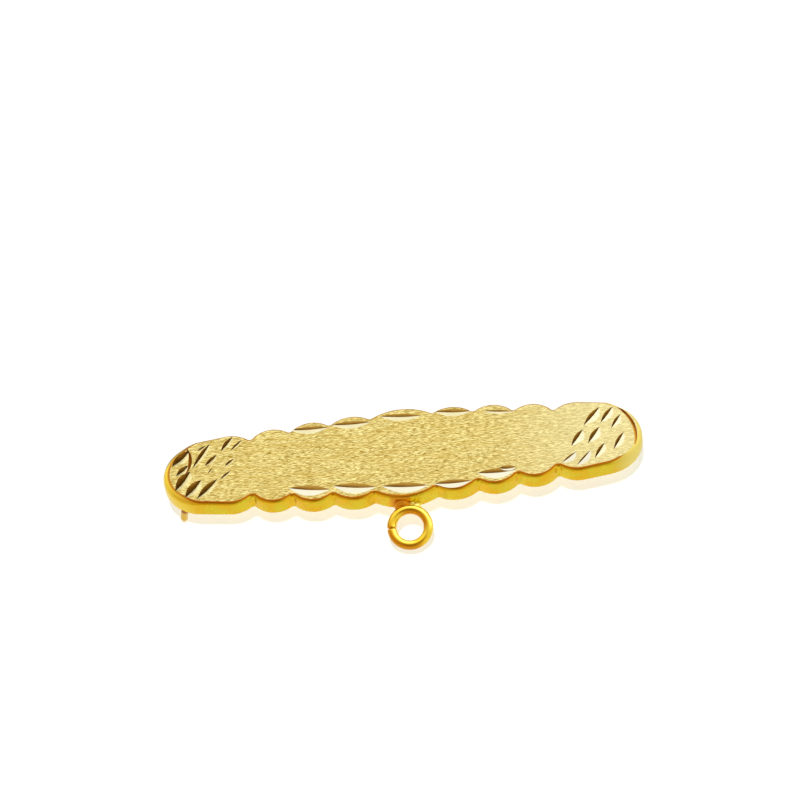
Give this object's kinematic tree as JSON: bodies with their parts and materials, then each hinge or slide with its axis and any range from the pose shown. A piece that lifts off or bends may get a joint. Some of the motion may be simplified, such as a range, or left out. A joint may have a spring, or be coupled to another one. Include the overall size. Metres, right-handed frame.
{
  "type": "bar brooch",
  "caption": "Scalloped gold bar brooch with bright-cut grooves, a soldered ring below the middle and a hinged pin held by a hook behind.",
  "frame": {"origin": "the bar's flat back, under the middle of the face, where the bar lies against the cloth", "axes": "+X along the bar towards the hinge end, +Y across it away from the ring, +Z out of the decorated face"},
  "size_m": [0.0352, 0.0115, 0.0032],
  "materials": {
    "gold_bar": "satin face with bright cuts and polished edges",
    "gold_pin": "polished"
  },
  "bodies": {
    "root": {"bar": "gold_bar", "pin_stem": "gold_pin"}
  },
  "joints": []
}
